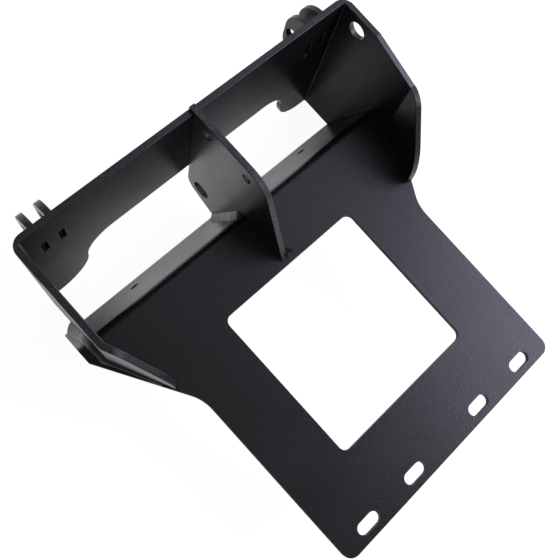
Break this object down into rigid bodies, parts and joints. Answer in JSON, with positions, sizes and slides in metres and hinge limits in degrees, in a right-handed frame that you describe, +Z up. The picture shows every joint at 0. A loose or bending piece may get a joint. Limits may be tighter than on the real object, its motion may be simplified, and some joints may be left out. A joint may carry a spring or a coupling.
{
  "type": "plow mounting plate",
  "caption": "Welded plow mounting plate: slotted flat plate with a square window, folded front flange, channel with pin lugs, and an upright centre rib.",
  "frame": {"origin": "middle of the row of slots, on the plate's top face", "axes": "+X to the right, +Y forward to the plow, +Z up, square to the plate"},
  "size_m": [0.41, 0.4229, 0.1974],
  "materials": {
    "black_coat": "satin black powder coat with a fine grain over folded quarter inch steel sheet",
    "coated_weld": "satin black powder coat over uneven weld beads"
  },
  "bodies": {
    "root": {"main_plate": "black_coat", "front_channel": "black_coat", "centre_rib": "black_coat", "lug_left_outer": "black_coat", "lug_left_inner": "black_coat", "lug_right_inner": "black_coat", "lug_right_outer": "black_coat", "weld_rib_flange": "coated_weld", "weld_rib_foot": "coated_weld", "weld_left_side": "coated_weld", "weld_right_side": "coated_weld", "weld_lugs_left": "coated_weld", "weld_lugs_right": "coated_weld"}
  },
  "joints": []
}
